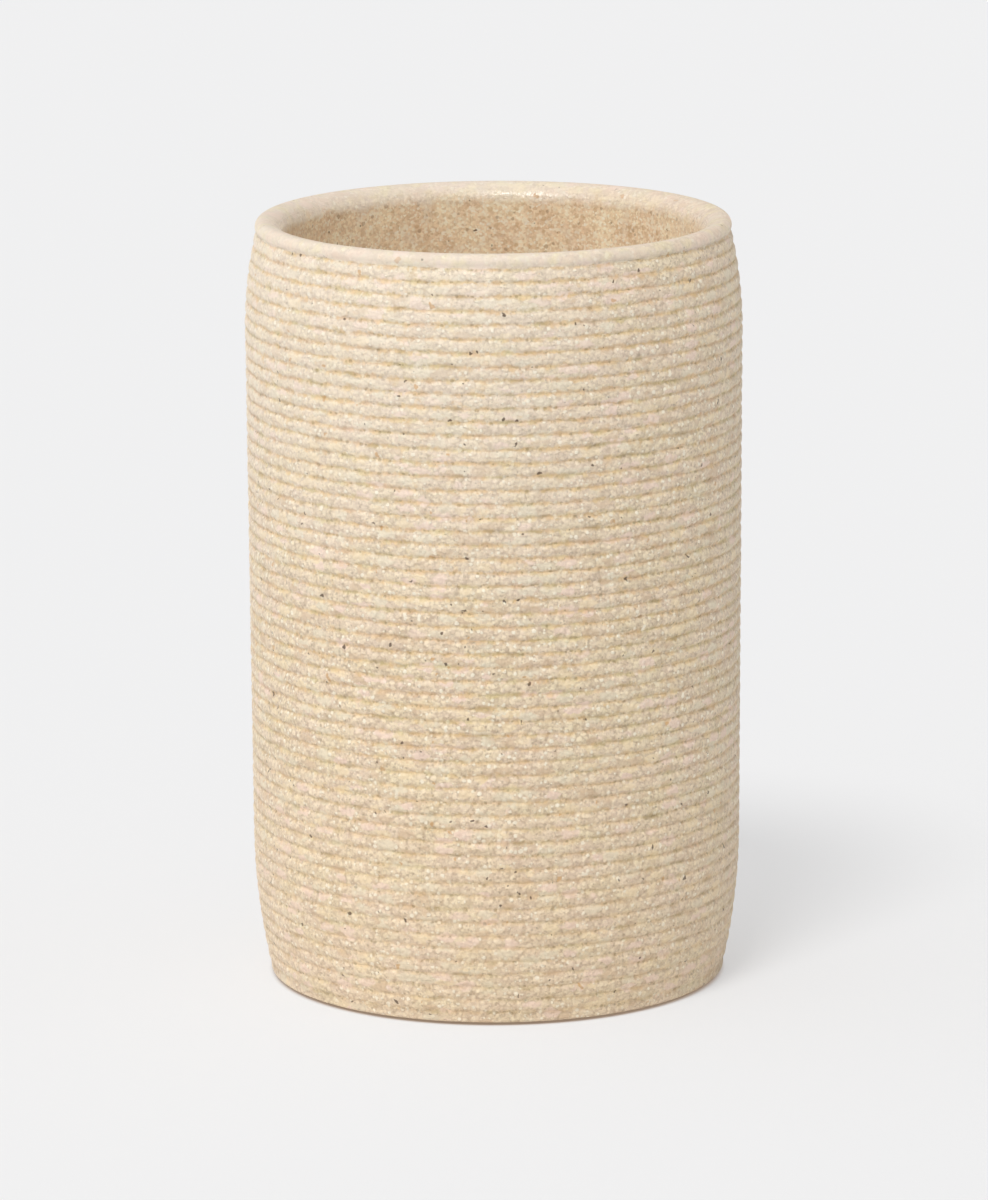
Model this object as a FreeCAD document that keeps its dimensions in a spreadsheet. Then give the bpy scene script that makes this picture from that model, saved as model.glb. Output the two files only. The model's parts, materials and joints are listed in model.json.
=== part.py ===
# Ribbed bathroom tumbler: one cast stone-effect cup, standing on an anti-slip pad set into its base.
# Millimetres, +Z up. The origin is the middle of the pad's underside, on the surface it stands on.
import FreeCAD
import Part
import Sketcher
import math
import os
from collections import namedtuple

# Driving dimensions: name, size and what it measures
DIMENSIONS = (
    ("overall_height", 114.0, "surface it stands on to the top of the lip"),
    ("body_diameter", 73.6, "over the rib crowns, where the side is widest"),
    ("side_draft_angle", 0.28, "lean of the side from upright, in degrees, narrower below"),
    ("shoulder_drop", 16.5, "top of the lip down to where the side starts to curve in"),
    ("shoulder_curve_radius", 60.0, "curve of the side from there up to the lip"),
    ("foot_rise", 22.0, "surface up to where the side starts to curve in towards the foot"),
    ("foot_curve_radius", 95.0, "curve of the side from there down to the foot"),
    ("base_edge_radius", 0.5, "rounded edge of the foot"),
    ("rib_pitch", 2.0, "height of one rib"),
    ("rib_depth", 0.3, "crown of a rib to the groove beside it"),
    ("lip_height", 2.0, "top of the lip down to the highest groove"),
    ("lip_crest_inset", 0.9, "highest groove in to the crest of the lip"),
    ("wall_thickness", 6.1, "bore to the rib crowns, where the side is widest"),
    ("floor_thickness", 7.0, "underside of the casting to the floor inside"),
    ("floor_corner_radius", 5.0, "rounded corner between the bore and the floor"),
    ("foot_ring_width", 4.5, "side of the foot in to the seat for the pad"),
    ("pad_thickness", 1.5, "anti-slip pad"),
    ("pad_stand_off", 0.4, "underside of the pad to the underside of the casting"),
    ("pad_clearance", 0.5, "gap all round the pad in its seat"),
    ("adhesive_thickness", 0.15, "film that bonds the pad"),
    ("adhesive_inset", 1.0, "edge of the pad in to the edge of the film"),
)

doc = FreeCAD.newDocument("tumbler")
dims = doc.addObject("Spreadsheet::Sheet", "Dims")
for row, (alias, size, note) in enumerate(DIMENSIONS, start=1):
    dims.set(f"A{row}", alias)
    dims.set(f"B{row}", str(size))
    dims.setAlias(f"B{row}", alias)
    dims.set(f"C{row}", note)
doc.recompute()


def value(expression):
    """The present size of an expression in the sheet's names."""
    return float(dims.evalExpression(expression))


def new_body(label):
    body = doc.addObject("PartDesign::Body", label)
    body.Label = label
    return body


def new_sketch(body, name, role):
    """An empty sketch on one of the body's own origin planes."""
    sketch = body.newObject("Sketcher::SketchObject", name)
    plane = next(feature for feature in body.Origin.OriginFeatures if feature.Role == role)
    sketch.AttachmentSupport = [(plane, "")]
    sketch.MapMode = "FlatFace"
    return sketch


def add_constraints(sketch, fixed, driven):
    """Add a sketch's constraints together, and bind each driven one, (kind, references, expression)."""
    first = sketch.ConstraintCount + len(fixed)
    sizes = [Sketcher.Constraint(kind, *references, value(size)) for kind, references, size in driven]
    sketch.addConstraint([Sketcher.Constraint(*constraint) for constraint in fixed] + sizes)
    for index, (_, _, size) in enumerate(driven, start=first):
        sketch.setExpression(f"Constraints[{index}]", size)


def arc_between(start, end, radius):
    """The shorter anticlockwise arc from start to end."""
    chord = end - start
    inward = FreeCAD.Vector(-chord.y, chord.x, 0).normalize()
    to_centre = math.sqrt(max(radius**2 - chord.Length**2 / 4, 0))
    circle = Part.Circle((start + end) / 2 + inward * to_centre, FreeCAD.Vector(0, 0, 1), radius)
    return Part.ArcOfCircle(circle, circle.parameter(start), circle.parameter(end))


# One stretch of an outline: its first corner, and its radius if it is an arc, hollow if it bulges inwards
Leg = namedtuple("Leg", "across up curve hollow", defaults=(None, False))


def draw_outline(sketch, legs):
    """Draw a closed anticlockwise outline in which each leg runs to the next one's corner."""
    AXIS, ORIGIN, START, END = -2, -1, 1, 2
    corners = [FreeCAD.Vector(value(leg.across), value(leg.up), 0) for leg in legs]
    geometry = []
    for leg, here, there in zip(legs, corners, corners[1:] + corners[:1]):
        if leg.curve is None:
            geometry.append(Part.LineSegment(here, there))
        elif leg.hollow:
            geometry.append(arc_between(there, here, value(leg.curve)))
        else:
            geometry.append(arc_between(here, there, value(leg.curve)))
    sketch.addGeometry(geometry)

    fixed = []
    driven = []
    first_with = {}
    for index, leg in enumerate(legs):
        before = (index - 1) % len(legs)
        corner = (index, END if leg.hollow else START)
        fixed.append(("Coincident", before, START if legs[before].hollow else END, *corner))
        if leg.across == "0":
            fixed.append(("PointOnObject", *corner, AXIS))
        else:
            driven.append(("DistanceX", (ORIGIN, START, *corner), leg.across))
        driven.append(("DistanceY", (ORIGIN, START, *corner), leg.up))
        if leg.curve in first_with:
            fixed.append(("Equal", first_with[leg.curve], index))
        elif leg.curve is not None:
            first_with[leg.curve] = index
            driven.append(("Radius", (index,), leg.curve))
    add_constraints(sketch, fixed, driven)


# Heights and radii that several faces share
BASE = "Dims.pad_stand_off"
SEAT = "(Dims.pad_thickness + Dims.adhesive_thickness)"
FLOOR = "(Dims.pad_stand_off + Dims.floor_thickness)"
TOP_GROOVE = "(Dims.overall_height - Dims.lip_height)"
BORE_RADIUS = "(Dims.body_diameter / 2 - Dims.wall_thickness)"
RIB_CROWN_RADIUS = "((Dims.rib_pitch / 2) ^ 2 + Dims.rib_depth ^ 2) / (2 * Dims.rib_depth)"


def side_radius(height):
    """Radius over the rib crowns at a height: a leaning side, curved in at the foot and the shoulder."""
    shoulder = "(Dims.overall_height - Dims.shoulder_drop)"
    lean = f"({shoulder} - {height}) * tan(Dims.side_draft_angle * 1 deg)"
    into_foot = f"max(0; Dims.foot_rise - {height})"
    into_shoulder = f"max(0; {height} - {shoulder})"
    foot = f"Dims.foot_curve_radius - sqrt(Dims.foot_curve_radius ^ 2 - {into_foot} ^ 2)"
    above = f"Dims.shoulder_curve_radius - sqrt(Dims.shoulder_curve_radius ^ 2 - {into_shoulder} ^ 2)"
    return f"Dims.body_diameter / 2 - {lean} - ({foot}) - ({above})"


FOOT_EDGE = "(Dims.pad_stand_off + Dims.base_edge_radius)"
FOOT_RADIUS = side_radius(FOOT_EDGE)
SEAT_RADIUS = f"{FOOT_RADIUS} - Dims.foot_ring_width"
PAD_RADIUS = f"{SEAT_RADIUS} - Dims.pad_clearance"


def tumbler_body():
    """The casting: ribbed side, rounded lip, straight bore, and a round seat for the pad underneath."""
    crest_radius = f"({side_radius(TOP_GROOVE)} - Dims.rib_depth - Dims.lip_crest_inset)"
    lip_outer = "(Dims.lip_crest_inset ^ 2 + Dims.lip_height ^ 2) / (2 * Dims.lip_height)"
    lip_inner = f"({crest_radius} - {BORE_RADIUS})"
    floor_radius = f"{BORE_RADIUS} - Dims.floor_corner_radius"

    legs = [
        Leg("0", SEAT),
        Leg(SEAT_RADIUS, SEAT),
        Leg(SEAT_RADIUS, BASE),
        Leg(f"{FOOT_RADIUS} - Dims.base_edge_radius", BASE, "Dims.base_edge_radius"),
        Leg(FOOT_RADIUS, FOOT_EDGE, RIB_CROWN_RADIUS),
    ]
    # Grooves at each pitch down from the lip, the lowest at least half a rib above the foot's edge
    groove_span = value(f"{TOP_GROOVE} - {FOOT_EDGE} - Dims.rib_pitch / 2")
    groove_count = math.floor(groove_span / value("Dims.rib_pitch")) + 1
    for below_top in reversed(range(groove_count)):
        height = f"({TOP_GROOVE} - {below_top} * Dims.rib_pitch)"
        curve = RIB_CROWN_RADIUS if below_top else lip_outer
        legs.append(Leg(f"{side_radius(height)} - Dims.rib_depth", height, curve))
    legs += [
        Leg(crest_radius, "Dims.overall_height", lip_inner),
        Leg(BORE_RADIUS, f"Dims.overall_height - {lip_inner}"),
        Leg(BORE_RADIUS, f"{FLOOR} + Dims.floor_corner_radius", "Dims.floor_corner_radius", hollow=True),
        Leg(floor_radius, FLOOR),
        Leg("0", FLOOR),
    ]

    body = new_body("tumbler_body")
    sketch = new_sketch(body, "HalfSection", "XZ_Plane")
    draw_outline(sketch, legs)
    casting = body.newObject("PartDesign::Revolution", "Casting")
    casting.Profile = sketch
    casting.ReferenceAxis = (sketch, ["V_Axis"])
    casting.Angle = 360
    return body


def disc(label, radius, thickness, height):
    """A flat round piece, with its underside at a height."""
    ORIGIN, CENTRE, CIRCLE = -1, 3, 0
    body = new_body(label)
    sketch = new_sketch(body, f"{label}_circle", "XY_Plane")
    centre, up = FreeCAD.Vector(0, 0, 0), FreeCAD.Vector(0, 0, 1)
    sketch.addGeometry(Part.Circle(centre, up, value(radius)))
    add_constraints(sketch, [("Coincident", CIRCLE, CENTRE, ORIGIN, 1)], [("Radius", (CIRCLE,), radius)])
    pad = body.newObject("PartDesign::Pad", f"{label}_disc")
    pad.Profile = sketch
    pad.setExpression("Length", thickness)
    body.setExpression("Placement.Base.z", height)
    return body


def pad_adhesive():
    """The double-sided film between the pad and the roof of its seat."""
    radius = f"{PAD_RADIUS} - Dims.adhesive_inset"
    return disc("pad_adhesive", radius, "Dims.adhesive_thickness", "Dims.pad_thickness")


def base_pad():
    """The die-cut anti-slip disc that the tumbler stands on."""
    return disc("base_pad", PAD_RADIUS, "Dims.pad_thickness", "0")


subparts = (tumbler_body(), pad_adhesive(), base_pad())
doc.recompute()

for feature in doc.Objects:
    if {"Invalid", "Error"} & set(feature.State):
        raise RuntimeError(f"{feature.Label} did not build: {feature.State}")
for subpart in subparts:
    if subpart.Shape.isNull() or not subpart.Shape.isValid() or len(subpart.Shape.Solids) != 1:
        raise RuntimeError(f"{subpart.Label} is not one valid solid")

os.makedirs("parts", exist_ok=True)
for subpart in subparts:
    subpart.Shape.exportStep(f"parts/{subpart.Label}.step")
    box = subpart.Shape.optimalBoundingBox(False)
    extent = f"{box.XLength:.2f} x {box.YLength:.2f} x {box.ZLength:.2f} mm"
    print(f"{subpart.Label}: {subpart.Shape.Volume:.1f} mm3, {extent}")
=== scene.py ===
import json
import math
import bmesh
import bpy
from collections import namedtuple
from mathutils import Matrix, Vector, noise


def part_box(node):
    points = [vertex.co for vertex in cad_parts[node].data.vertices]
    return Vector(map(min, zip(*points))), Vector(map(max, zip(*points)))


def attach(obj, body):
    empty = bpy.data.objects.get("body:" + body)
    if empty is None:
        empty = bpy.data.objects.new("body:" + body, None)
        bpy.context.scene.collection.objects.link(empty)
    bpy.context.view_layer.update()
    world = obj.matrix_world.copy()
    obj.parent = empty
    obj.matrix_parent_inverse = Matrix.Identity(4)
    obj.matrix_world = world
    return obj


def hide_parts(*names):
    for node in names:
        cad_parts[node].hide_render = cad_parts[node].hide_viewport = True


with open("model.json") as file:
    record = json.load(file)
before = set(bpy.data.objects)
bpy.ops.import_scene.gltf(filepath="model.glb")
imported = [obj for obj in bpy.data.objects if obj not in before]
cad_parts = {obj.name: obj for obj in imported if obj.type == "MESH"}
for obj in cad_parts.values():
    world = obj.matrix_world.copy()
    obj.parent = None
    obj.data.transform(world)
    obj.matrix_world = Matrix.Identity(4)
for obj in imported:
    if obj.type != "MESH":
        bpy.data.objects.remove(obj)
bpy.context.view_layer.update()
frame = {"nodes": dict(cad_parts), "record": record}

# Cast body: one pour of resin filled with stone grit, so the same speckled stone shows outside and inside.
# Fine ribs run round the side between a smooth rounded lip and a narrow foot, and each groove is a little
# uneven where grit fills it or has fallen out. A shallow seat under the base takes the anti-slip pad.
foot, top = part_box("tumbler_body")
pad_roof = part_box("pad_adhesive")[1].z
pad_clearance = 0.0005
seat_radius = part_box("base_pad")[1].x + pad_clearance
side_radius = top.x
side_lean = math.tan(math.radians(0.28))
shoulder_drop = 0.0165
shoulder_height = top.z - shoulder_drop
shoulder_curve = 0.060
foot_height = 0.022
foot_curve = 0.095
foot_edge = 0.0005
rib_pitch = 0.002
rib_depth = 0.0003
lip_height = 0.002
lip_inset = 0.0009
mm_per_metre = 1000
bore = next(mount for mount in frame["record"]["mounts"] if mount["name"] == "inside_bore")
bore_radius = bore["dims"]["r_mm"] / mm_per_metre
floor_thickness = 0.007
floor_height = foot.z + floor_thickness
floor_corner = 0.005


def crown_radius(height):
    """Radius over the rib crowns: a leaning side that curves in at the shoulder and at the foot."""
    below = max(0.0, foot_height - height)
    above = max(0.0, height - shoulder_height)
    foot_sag = foot_curve - math.sqrt(foot_curve**2 - below**2)
    shoulder_sag = shoulder_curve - math.sqrt(shoulder_curve**2 - above**2)
    return side_radius - (shoulder_height - height) * side_lean - foot_sag - shoulder_sag


def arc(centre, radius, start, end, steps):
    """Points along an arc of the half section, from one angle to another in degrees."""
    turns = [math.radians(start + (end - start) * step / steps) for step in range(steps + 1)]
    return [(centre[0] + radius * math.cos(turn), centre[1] + radius * math.sin(turn)) for turn in turns]


# The half section, from the roof of the pad's seat round the outside and back down the bore.
# Each ring that it spins into has a radius and a height, then how deep in a groove it lies, how polished
# it is, and how far it belongs to the moulded inside, each from 0 to 1.
Ring = namedtuple("Ring", "radius height groove polish inside", defaults=(0, 0, 0))
seat_shares = (0, 0.5, 1)
rib_stations = (0.0, 0.11, 0.32, 0.68, 0.89)
floor_shares = (0.66, 0.33, 0)
edge_steps = 4
lip_steps = 10
bore_steps = 6
corner_steps = 6
top_groove = top.z - lip_height
groove_count = int((top_groove - foot.z - foot_edge - rib_pitch / 2) / rib_pitch) + 1
lowest_groove = top_groove - (groove_count - 1) * rib_pitch
crest_radius = crown_radius(top_groove) - rib_depth - lip_inset
lip_outer = (lip_inset**2 + lip_height**2) / (2 * lip_height)
lip_inner = crest_radius - bore_radius
lip_start = math.degrees(math.asin(1 - lip_height / lip_outer))
foot_radius = crown_radius(foot.z + foot_edge)

rings = [Ring(seat_radius * share, pad_roof) for share in seat_shares]
rings.append(Ring(seat_radius, foot.z))
edge_centre = (foot_radius - foot_edge, foot.z + foot_edge)
rings += [Ring(*point) for point in arc(edge_centre, foot_edge, -90, 0, edge_steps)]
for rib in range(groove_count - 1):
    for station in rib_stations:
        rise = lowest_groove + (rib + station) * rib_pitch
        sunk = abs(2 * station - 1)
        rings.append(Ring(crown_radius(rise) - rib_depth * sunk**2, rise, groove=sunk))

# The lip rises out of the highest groove, which is shallower than the rest
lip = arc((crest_radius, top.z - lip_outer), lip_outer, lip_start, 90, lip_steps)
rings.append(Ring(lip[0][0] + rib_depth / 3, lip[0][1], groove=0.8))
rings.append(Ring(*lip[1], groove=0.3, polish=0.5))
rings += [Ring(*point, polish=1) for point in lip[2:]]
inner_lip = arc((crest_radius, top.z - lip_inner), lip_inner, 90, 180, lip_steps)
for step, point in enumerate(inner_lip[1:], start=1):
    inward = (step / lip_steps) ** 2
    rings.append(Ring(*point, polish=1 - inward, inside=inward))

bore_top = top.z - lip_inner
bore_drop = bore_top - floor_height - floor_corner
for step in range(1, bore_steps):
    rings.append(Ring(bore_radius, bore_top - bore_drop * step / bore_steps, inside=1))
corner_centre = (bore_radius - floor_corner, floor_height + floor_corner)
rings += [Ring(*point, inside=1) for point in arc(corner_centre, floor_corner, 0, -90, corner_steps)]
rings += [Ring((bore_radius - floor_corner) * share, floor_height, inside=1) for share in floor_shares]

steps_round = 300
merge_distance = 1e-7
bm = bmesh.new()
groove_layer = bm.verts.layers.float.new("groove")
polish_layer = bm.verts.layers.float.new("polish")
inside_layer = bm.verts.layers.float.new("inside")
previous = None
for ring in rings:
    vert = bm.verts.new((ring.radius, 0, ring.height))
    vert[groove_layer] = ring.groove
    vert[polish_layer] = ring.polish
    vert[inside_layer] = ring.inside
    if previous:
        bm.edges.new((previous, vert))
    previous = vert
bmesh.ops.spin(
    bm, geom=bm.verts[:] + bm.edges[:], axis=(0, 0, 1), cent=(0, 0, 0),
    angle=math.tau, steps=steps_round, use_merge=True,
)
bmesh.ops.remove_doubles(bm, verts=bm.verts, dist=merge_distance)
bmesh.ops.recalc_face_normals(bm, faces=bm.faces)

# Ribs wander up and down a little, their crowns are knobbly, grit lifts a groove here and there, and the
# grooves wear shallow towards the foot. Noise is given by its waves per metre.
wander = 0.00020
wander_waves = 330
jitter_waves = 760
knobs = 0.00011
knob_waves = 700
knob_offset = Vector((5, 2, 1))
groove_fill = 0.55
fill_waves = 420
fill_offset = Vector((3, 1, 7))
foot_wear = 0.35
rib_squeeze = 1.6
height_margin = 1e-6
bore_margin = 0.001
for vert in bm.verts:
    even = vert.co.copy()
    across = Vector((even.x, even.y, 0))
    if lowest_groove <= even.z <= top_groove + height_margin and across.length > bore_radius + bore_margin:
        along = Vector((even.x, even.y, even.z * rib_squeeze))
        vert.co.z += wander * noise.noise(along * wander_waves)
        vert.co.z += wander * noise.noise(along * jitter_waves) / 2
        worn = foot_wear * max(0.0, 1 - even.z / foot_height)
        filled = groove_fill * max(0.0, noise.noise(along * fill_waves + fill_offset))
        lift = (filled + worn) * vert[groove_layer]
        knob = (noise.noise(along * knob_waves + knob_offset) - 1) / 2
        vert.co += across.normalized() * (rib_depth * lift + knobs * knob)


def new_piece(name, bm):
    """A smoothly shaded object from a bmesh, which is freed."""
    mesh = bpy.data.meshes.new(name)
    bm.to_mesh(mesh)
    bm.free()
    mesh.shade_smooth()
    piece = bpy.data.objects.new(name, mesh)
    bpy.context.collection.objects.link(piece)
    return piece


stone_tumbler = new_piece("stone_tumbler", bm)


def srgb(red, green, blue):
    """A colour as a screen shows it, 0 to 255, in the linear light that a shader takes."""
    shares = [value / 255 for value in (red, green, blue)]
    return [s / 12.92 if s <= 0.04045 else ((s + 0.055) / 1.055) ** 2.4 for s in shares] + [1.0]


def add(tree, kind, inputs=None, **settings):
    """Add a node with its settings, and link or set its inputs by name or by number."""
    node = tree.nodes.new(kind)
    for name, setting in settings.items():
        setattr(node, name, setting)
    for name, source in (inputs or {}).items():
        if isinstance(source, bpy.types.NodeSocket):
            tree.links.new(source, node.inputs[name])
        else:
            node.inputs[name].default_value = source
    return node


def new_material(name):
    """An empty material, its node tree, and the place on the piece that its textures read."""
    material = bpy.data.materials.new(name)
    material.use_nodes = True
    tree = material.node_tree
    tree.nodes.clear()
    return material, tree, add(tree, "ShaderNodeTexCoord").outputs["Object"]


def sums(tree, operation, *values):
    """A Math node on values or sockets."""
    return add(tree, "ShaderNodeMath", dict(enumerate(values)), operation=operation).outputs[0]


def scaled(tree, value, by, plus):
    """A value times a factor, plus another value."""
    return sums(tree, "MULTIPLY_ADD", value, by, plus)


def times(tree, *factors):
    """The product of values and sockets."""
    total, *others = factors
    for factor in others:
        total = sums(tree, "MULTIPLY", total, factor)
    return total


def waver(tree, value, push, reach):
    """A value that noise from 0 to 1 pushes up or down, by up to half the reach."""
    return scaled(tree, sums(tree, "SUBTRACT", push, 0.5), by=reach, plus=value)


def fade(tree, value, start, end):
    """0 below start, 1 above end, smooth between; the other way round if start is above end."""
    limits = {"Value": value, "From Min": start, "From Max": end}
    return add(tree, "ShaderNodeMapRange", limits, interpolation_type="SMOOTHSTEP").outputs[0]


def stops(tree, value, colours, interpolation="LINEAR"):
    """A colour ramp from (position, colour) pairs."""
    node = add(tree, "ShaderNodeValToRGB", {"Fac": value})
    ramp = node.color_ramp
    ramp.interpolation = interpolation
    while len(ramp.elements) < len(colours):
        ramp.elements.new(0.5)
    for element, (position, colour) in zip(ramp.elements, colours):
        element.position = position
        element.color = colour
    return node.outputs["Color"]


def blend(tree, share, under, over):
    """Lay one colour over another by a share."""
    return add(tree, "ShaderNodeMix", {0: share, 6: under, 7: over}, data_type="RGBA").outputs[2]


def lay(tree, under, over, *masks, strength):
    """Lay one colour over another, as strongly as the product of some masks and a strength."""
    return blend(tree, times(tree, *masks, strength), under, over)


def cloud(tree, where, size, detail, stretch=1.0):
    """Soft noise with patches of about a size, flattened along the ribs by a stretch above 1."""
    flat = add(tree, "ShaderNodeMapping", {"Vector": where, "Scale": (1.0, 1.0, stretch)}).outputs[0]
    patches = add(tree, "ShaderNodeTexNoise", {"Vector": flat, "Scale": 1 / size, "Detail": detail})
    return patches.outputs["Fac"]


def shaken(tree, where, size, reach):
    """A place pushed about by noise of a size, so that grain outlines come out ragged."""
    push = add(tree, "ShaderNodeTexNoise", {"Vector": where, "Scale": 1 / size, "Detail": 2.0})
    return add(
        tree, "ShaderNodeVectorMath",
        {0: push.outputs["Color"], 1: (reach, reach, reach), 2: where}, operation="MULTIPLY_ADD",
    ).outputs[0]


Grains = namedtuple("Grains", "out kind shade")


def grains(tree, where, size, stretch=1.0):
    """Random cells of about a size: how far out in its cell a point is, and two random numbers per cell."""
    flat = add(tree, "ShaderNodeMapping", {"Vector": where, "Scale": (1.0, 1.0, stretch)}).outputs[0]
    cells = add(tree, "ShaderNodeTexVoronoi", {"Vector": flat, "Scale": 1 / size})
    random = add(tree, "ShaderNodeSeparateColor", {"Color": cells.outputs["Color"]})
    return Grains(cells.outputs["Distance"], random.outputs[0], random.outputs[1])


def scattered(tree, where, spacing, kept, radius):
    """Separate grains in a share of the cells, of many sizes: 1 in a grain and 0 between grains."""
    narrow = 0.01
    cell = grains(tree, where, spacing)
    edge = scaled(tree, cell.shade, by=radius, plus=sums(tree, "SUBTRACT", radius / 2, cell.out))
    chosen = fade(tree, cell.kind, start=1 - kept, end=1 - kept + narrow)
    return times(tree, fade(tree, edge, start=0.0, end=radius / 3), chosen)


stone, tree, place = new_material("cast_stone")
axes = add(tree, "ShaderNodeSeparateXYZ", {0: place}).outputs
height = axes["Z"]
groove = add(tree, "ShaderNodeAttribute", attribute_name="groove").outputs["Fac"]
polish = add(tree, "ShaderNodeAttribute", attribute_name="polish").outputs["Fac"]
inside = add(tree, "ShaderNodeAttribute", attribute_name="inside").outputs["Fac"]
finely = shaken(tree, place, size=0.00026, reach=0.00034)
barely = shaken(tree, place, size=0.00040, reach=0.00016)
roughly = shaken(tree, place, size=0.0011, reach=0.0016)

# Sand: warm binder packed with two sizes of grit, with pinholes and small white grains, all of it fainter
# on the polished lip. The white grains are partly white grit and partly painted glints.
frost = scaled(tree, polish, by=-0.25, plus=1.0)
binder_patch = cloud(tree, place, size=0.007, detail=4.0, stretch=1.6)
colour = stops(tree, binder_patch, [
    (0.34, srgb(241, 222, 180)),
    (0.50, srgb(248, 220, 192)),
    (0.66, srgb(247, 216, 200)),
])
sand = grains(tree, finely, size=0.00033)
sand_tone = stops(tree, sand.kind, [(0.0, srgb(178, 157, 133)), (1.0, srgb(255, 240, 208))])
colour = lay(tree, colour, sand_tone, frost, strength=0.54)
grit = grains(tree, finely, size=0.00064)
grit_tone = stops(tree, grit.kind, [(0.0, srgb(196, 175, 151)), (1.0, srgb(255, 239, 207))])
colour = lay(tree, colour, grit_tone, frost, strength=0.40)
grit_gap = fade(tree, grit.out, start=0.50, end=0.90)
colour = lay(tree, colour, srgb(186, 160, 131), grit_gap, frost, strength=0.50)
pinhole = scattered(tree, finely, spacing=0.0006, kept=0.50, radius=0.32)
colour = lay(tree, colour, srgb(158, 137, 110), pinhole, frost, strength=0.42)
# White grains, partly real grit and partly painted glints
white_grain_and_glint = scattered(tree, finely, spacing=0.00075, kept=0.50, radius=0.34)
colour = lay(tree, colour, srgb(255, 245, 223), white_grain_and_glint, frost, strength=0.9)

# Stones two or three millimetres long, plainer than the sand: tan, greenish cream, pinkish or yellowish
pebble = grains(tree, roughly, size=0.0030, stretch=2.2)
pebble_tone = stops(tree, pebble.shade, [
    (0.00, srgb(216, 188, 156)),
    (0.22, srgb(234, 222, 196)),
    (0.50, srgb(247, 219, 203)),
    (0.76, srgb(246, 224, 185)),
], "CONSTANT")
pebble_core = fade(tree, pebble.out, start=0.62, end=0.40)
pebble_kept = fade(tree, pebble.kind, start=0.35, end=0.60)
pebble_strength = scaled(tree, inside, by=-0.4, plus=0.66)
colour = lay(tree, colour, pebble_tone, pebble_core, pebble_kept, strength=pebble_strength)

# Painted light: the casting is painted paler towards the lip, most of all on its left, where the light from
# the upper left falls on the curving shoulder; it is also painted darker and warmer towards the foot
painted_light_left = scaled(tree, fade(tree, axes["X"], start=0.030, end=-0.005), by=0.30, plus=0.09)
towards_lip = fade(tree, height, start=0.045, end=0.108)
colour = lay(tree, colour, srgb(249, 239, 224), towards_lip, strength=painted_light_left)
towards_foot = fade(tree, height, start=0.050, end=0.015)
colour = lay(tree, colour, srgb(232, 198, 156), towards_foot, strength=0.14)

# Inside, where it left the mould unfrosted, it is browner: packed grains with brown and pale lumps, soft
# patches, stains and pits, which begin along a ragged line on the lip's inner side
bare = waver(tree, inside, cloud(tree, place, size=0.003, detail=3.0), reach=1.6)
pack = grains(tree, barely, size=0.00034)
pack_tone = stops(tree, pack.kind, [
    (0.00, srgb(212, 183, 150)),
    (0.50, srgb(248, 222, 188)),
    (0.80, srgb(255, 245, 218)),
    (1.00, srgb(255, 255, 244)),
])
pack_gap = fade(tree, pack.out, start=0.70, end=1.05)
pack_tone = blend(tree, pack_gap, pack_tone, srgb(186, 154, 118))
brown_lump = scattered(tree, finely, spacing=0.0010, kept=0.50, radius=0.36)
pack_tone = lay(tree, pack_tone, srgb(188, 150, 106), brown_lump, strength=0.60)
pale_lump = scattered(tree, finely, spacing=0.0009, kept=0.55, radius=0.38)
pack_tone = lay(tree, pack_tone, srgb(255, 252, 232), pale_lump, strength=0.75)
pack_patch = cloud(tree, place, size=0.005, detail=3.0)
patch_tone = stops(tree, pack_patch, [(0.38, srgb(255, 234, 188)), (0.60, srgb(220, 178, 128))])
pack_tone = lay(tree, pack_tone, patch_tone, strength=0.32)
pack_stain = fade(tree, cloud(tree, place, size=0.0016, detail=3.0), start=0.50, end=0.66)
pack_tone = lay(tree, pack_tone, srgb(196, 160, 116), pack_stain, strength=0.26)
pack_pit = scattered(tree, finely, spacing=0.0012, kept=0.38, radius=0.23)
pack_tone = lay(tree, pack_tone, srgb(146, 112, 76), pack_pit, strength=0.6)
colour = lay(tree, colour, pack_tone, fade(tree, bare, start=0.40, end=0.95), strength=0.82)

# Grooves: olive and ochre, partly bare binder and partly painted shade warmed like light bounced in the
# groove, in ragged blotches that break where grit fills the groove, faint at the foot and strongest at the
# lip, with darker smears and pits deep in the groove that are painted shade as well
blotch = cloud(tree, place, size=0.0017, detail=3.5, stretch=1.6)
ragged = waver(tree, groove, blotch, reach=1.3)
ragged = waver(tree, ragged, grit.shade, reach=0.36)
bare_binder_and_shade = fade(tree, ragged, start=0.46, end=1.12)
near_lip = fade(tree, height, start=0.075, end=0.105)
above_foot = fade(tree, height, start=0.010, end=0.060)
groove_strength = scaled(tree, above_foot, by=0.24, plus=scaled(tree, near_lip, by=0.05, plus=0.26))
groove_patch = cloud(tree, place, size=0.0040, detail=3.0)
groove_tint_and_shade = stops(tree, groove_patch, [
    (0.36, srgb(204, 184, 114)),
    (0.50, srgb(230, 188, 114)),
    (0.64, srgb(214, 169, 118)),
])
# Painted shade in the grooves, mixed with the bare binder's colour
colour = lay(tree, colour, groove_tint_and_shade, bare_binder_and_shade, strength=groove_strength)
smear_and_shade = grains(tree, roughly, size=0.0040, stretch=2.4)
smear_and_shade_core = fade(tree, smear_and_shade.out, start=0.50, end=0.15)
smear_and_shade_kept = fade(tree, smear_and_shade.kind, start=0.60, end=0.75)
in_groove = fade(tree, groove, start=0.30, end=0.90)
# Painted shade: darker smears deep in the grooves
colour = lay(tree, colour, srgb(164, 140, 92), smear_and_shade_core, smear_and_shade_kept, in_groove, strength=0.42)
pit_and_shade = scattered(tree, finely, spacing=0.0007, kept=0.5, radius=0.36)
deep_in_groove = fade(tree, groove, start=0.45, end=0.95)
# Painted shade: dark pits deep in the grooves
colour = lay(tree, colour, srgb(150, 124, 84), pit_and_shade, deep_in_groove, strength=0.45)

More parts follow.
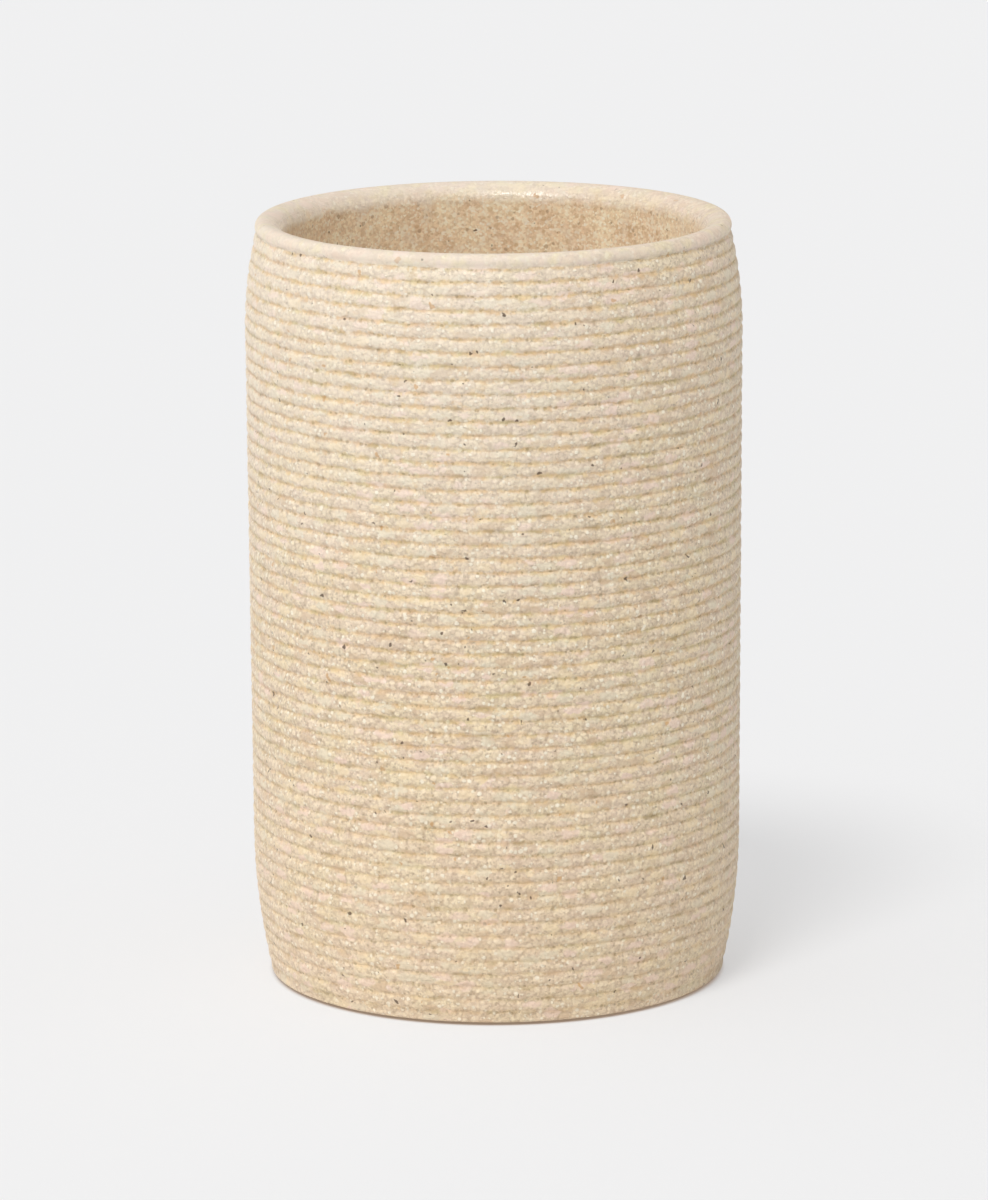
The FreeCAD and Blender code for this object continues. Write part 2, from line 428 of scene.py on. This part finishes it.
# Dark specks and rust flecks, sparse, each pulled out of round
speck = scattered(tree, roughly, spacing=0.0025, kept=0.85, radius=0.085)
colour = lay(tree, colour, srgb(80, 58, 36), speck, strength=0.86)
fleck = scattered(tree, roughly, spacing=0.0026, kept=0.28, radius=0.12)
colour = lay(tree, colour, srgb(206, 154, 88), fleck, strength=0.6)

# The lip is rubbed smooth to a mottled cream, painted darker and greyer than the side, partly its own
# binder colour and partly painted shade for the lip, which faces up into more light, and there is some
# gloss from its inner side down
lip_patch = cloud(tree, place, size=0.0026, detail=3.0)
lip_cream_and_shade = stops(tree, lip_patch, [
    (0.36, srgb(220, 209, 174)),
    (0.50, srgb(214, 202, 190)),
    (0.64, srgb(224, 201, 187)),
])
# Lip colour: partly its own cream, partly painted shade on the upward-facing lip
colour = lay(tree, colour, lip_cream_and_shade, polish, strength=0.42)
roughness = scaled(tree, fade(tree, inside, start=0.05, end=0.35), by=-0.32, plus=0.58)

# Lumps, grains and the gaps between them give relief, which softens on the lip and inside
lump_height = 0.00012
lumps = cloud(tree, place, size=0.0011, detail=3.0)
relief = scaled(tree, lumps, by=3.2, plus=times(tree, sand.kind, 0.4))
relief = scaled(tree, grit.kind, by=0.7, plus=relief)
relief = scaled(tree, times(tree, grit.out, grit.out), by=-0.6, plus=relief)
relief = scaled(tree, white_grain_and_glint, by=0.4, plus=relief)
smooth = sums(tree, "MAXIMUM", polish, inside)
relief = times(tree, relief, scaled(tree, smooth, by=-0.85, plus=1.0))
bump = add(tree, "ShaderNodeBump", {"Height": relief, "Strength": 1.0, "Distance": lump_height})
skin = add(
    tree, "ShaderNodeBsdfPrincipled",
    {
        "Base Color": colour, "Roughness": roughness, "Normal": bump.outputs[0],
        "Sheen Weight": 0.35, "Sheen Roughness": 0.5, "Sheen Tint": srgb(255, 240, 220),
    },
)
add(tree, "ShaderNodeOutputMaterial", {"Surface": skin.outputs[0]})

stone_tumbler.data.materials.append(stone)
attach(stone_tumbler, "root")
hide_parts("tumbler_body")

# Adhesive film: a thin double-sided sheet, die cut a little smaller than the pad and hidden above it.
# Milky acrylic glue, faintly blotched where it has wetted the stone.
film, tree, place = new_material("adhesive_film")
wetted = cloud(tree, place, size=0.004, detail=3.0)
milky = stops(tree, wetted, [(0.35, srgb(214, 208, 194)), (0.65, srgb(228, 224, 214))])
roughness = scaled(tree, wetted, by=0.3, plus=0.3)
skin = add(tree, "ShaderNodeBsdfPrincipled", {"Base Color": milky, "Roughness": roughness})
add(tree, "ShaderNodeOutputMaterial", {"Surface": skin.outputs[0]})
for slot in frame["nodes"]["pad_adhesive"].material_slots:
    slot.material = film

# Anti-slip pad: a disc of closed-cell foam rubber, die cut, so its edges are crisp with a slight roll.
# It is bonded into the seat and stands a little proud of the foot.
pad_low, pad_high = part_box("base_pad")
pad_roll = 0.0002
roll_steps = 3
pad_steps_round = 128
level_margin = 1e-9
bm = bmesh.new()
bmesh.ops.create_circle(bm, cap_ends=True, segments=pad_steps_round, radius=pad_high.x)
bmesh.ops.translate(bm, verts=bm.verts, vec=(0, 0, pad_low.z))
raised = bmesh.ops.extrude_face_region(bm, geom=bm.faces[:])
raised_verts = [item for item in raised["geom"] if isinstance(item, bmesh.types.BMVert)]
bmesh.ops.translate(bm, verts=raised_verts, vec=(0, 0, pad_high.z - pad_low.z))
rims = [edge for edge in bm.edges if abs(edge.verts[0].co.z - edge.verts[1].co.z) < level_margin]
bmesh.ops.bevel(
    bm, geom=rims, offset=pad_roll, affect="EDGES", segments=roll_steps, profile=0.5, material=-1,
)
bmesh.ops.recalc_face_normals(bm, faces=bm.faces)
foam_pad = new_piece("foam_pad", bm)

foam, tree, place = new_material("foam_rubber")
pores_per_metre = 2600.0
pore_depth = 0.0001
pores = add(tree, "ShaderNodeTexVoronoi", {"Vector": place, "Scale": pores_per_metre}).outputs["Distance"]
rubber_patch = cloud(tree, place, size=0.0055, detail=4.0)
rubber = stops(tree, rubber_patch, [(0.3, srgb(176, 160, 136)), (0.7, srgb(192, 178, 154))])
rubber = blend(tree, fade(tree, pores, start=0.3, end=0.1), rubber, srgb(140, 124, 102))
bump = add(tree, "ShaderNodeBump", {"Height": pores, "Strength": 0.4, "Distance": pore_depth})
skin = add(
    tree, "ShaderNodeBsdfPrincipled",
    {"Base Color": rubber, "Roughness": 0.85, "Normal": bump.outputs[0]},
)
add(tree, "ShaderNodeOutputMaterial", {"Surface": skin.outputs[0]})
foam_pad.data.materials.append(foam)
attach(foam_pad, "root")
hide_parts("base_pad")

# Studio floor: one seamless pale sheet that fills the view and keeps the tumbler's soft shadow.
# To the camera it also glows, as a light table does, which keeps the shadow pale. In the narrow gap under
# the
# foot the glow is painted dim warm brown: a painted shadow with painted warm light off the stone.
floor_span = 12.0
floor_glow = 0.58
glow_inset = 0.001
glow_outset = 0.0005
bm = bmesh.new()
bmesh.ops.create_grid(bm, x_segments=2, y_segments=2, size=floor_span / 2)
studio_floor = new_piece("studio_floor", bm)


def grey(level):
    """An even grey, in linear light."""
    return (level, level, level, 1)


sheet, tree, place = new_material("pale_sheet")
seen = add(tree, "ShaderNodeLightPath").outputs["Is Camera Ray"]
matte = add(tree, "ShaderNodeBsdfDiffuse", {"Color": grey(0.85)})
off_axis = add(tree, "ShaderNodeVectorMath", {0: place}, operation="LENGTH").outputs["Value"]
beyond_foot = fade(tree, off_axis, start=foot_radius - glow_inset, end=foot_radius + glow_outset)
# Painted shadow under the foot: the glow there is a dim warm brown, with painted warm light off the stone
glow_and_foot_shadow_tone = blend(tree, beyond_foot, srgb(178, 150, 126), srgb(237, 237, 238))
glow_and_foot_shadow = add(tree, "ShaderNodeEmission", {"Color": glow_and_foot_shadow_tone, "Strength": 1.0})
glow_share = times(tree, seen, floor_glow)
both = add(tree, "ShaderNodeMixShader", {0: glow_share, 1: matte.outputs[0], 2: glow_and_foot_shadow.outputs[0]})
add(tree, "ShaderNodeOutputMaterial", {"Surface": both.outputs[0]})
studio_floor.data.materials.append(sheet)

# Light: one soft lamp, high at the front and a little to the left, in a room of soft light.
# The room's walls are bright at the far left and far right and darkest to the right of the middle, and
# its ceiling is brighter on the left. The camera sees an even pale backdrop instead.
lamp_azimuth = math.radians(-22)
lamp_elevation = math.radians(57)
lamp = bpy.data.lights.new("soft_key", "SUN")
lamp.energy = 1.73
lamp.angle = math.radians(18)
key = bpy.data.objects.new("soft_key", lamp)
key_from = Vector((
    math.sin(lamp_azimuth) * math.cos(lamp_elevation),
    -math.cos(lamp_azimuth) * math.cos(lamp_elevation),
    math.sin(lamp_elevation),
))
key.rotation_euler = key_from.to_track_quat("Z", "Y").to_euler()
bpy.context.collection.objects.link(key)

room = bpy.data.worlds.new("pale_room")
bpy.context.scene.world = room
room.use_nodes = True
tree = room.node_tree
tree.nodes.clear()
way = add(tree, "ShaderNodeTexCoord").outputs["Generated"]
level = add(tree, "ShaderNodeVectorMath", {0: way, 1: (1, 1, 0)}, operation="MULTIPLY").outputs[0]
level = add(tree, "ShaderNodeVectorMath", {0: level}, operation="NORMALIZE").outputs[0]
rightness = add(tree, "ShaderNodeSeparateXYZ", {0: level}).outputs["X"]
walls = stops(tree, scaled(tree, rightness, by=0.5, plus=0.5), [
    (0.00, grey(0.80)),
    (0.50, grey(0.46)),
    (0.80, grey(0.04)),
    (1.00, grey(1.05)),
])
bright_side = (-0.95, -0.31, 0)
brightness = add(tree, "ShaderNodeVectorMath", {0: way, 1: bright_side}, operation="DOT_PRODUCT")
ceiling = stops(tree, scaled(tree, brightness.outputs["Value"], by=0.5, plus=0.5), [
    (0.00, grey(0.14)),
    (1.00, grey(1.08)),
])
up = add(tree, "ShaderNodeSeparateXYZ", {0: way}).outputs["Z"]
room_tone = blend(tree, fade(tree, up, start=0.25, end=0.75), walls, ceiling)
paths = add(tree, "ShaderNodeLightPath").outputs
backdrop = sums(tree, "MAXIMUM", paths["Is Camera Ray"], paths["Is Transmission Ray"])
lit = add(tree, "ShaderNodeBackground", {"Color": room_tone, "Strength": 1.0})
plain = add(tree, "ShaderNodeBackground", {"Color": srgb(241, 241, 241), "Strength": 1.0})
both = add(tree, "ShaderNodeMixShader", {0: backdrop, 1: lit.outputs[0], 2: plain.outputs[0]})
add(tree, "ShaderNodeOutputWorld", {"Surface": both.outputs[0]})
bpy.context.scene.view_settings.view_transform = "Standard"

# Camera: a long lens about a metre in front, above the rim and tilted down; the picture is turned a hair.
eye = Vector((-0.0002, -1.0281, 0.2788))
tilt_down = math.radians(12.216)
turn = math.radians(-0.33)
lens = bpy.data.cameras.new("camera")
lens.lens = 212.0
lens.sensor_width = 36.0
camera = bpy.data.objects.new("camera", lens)
upright = Matrix.Rotation(math.pi / 2 - tilt_down, 4, "X")
camera.matrix_world = Matrix.Translation(eye) @ upright @ Matrix.Rotation(turn, 4, "Z")
bpy.context.collection.objects.link(camera)
bpy.context.scene.camera = camera
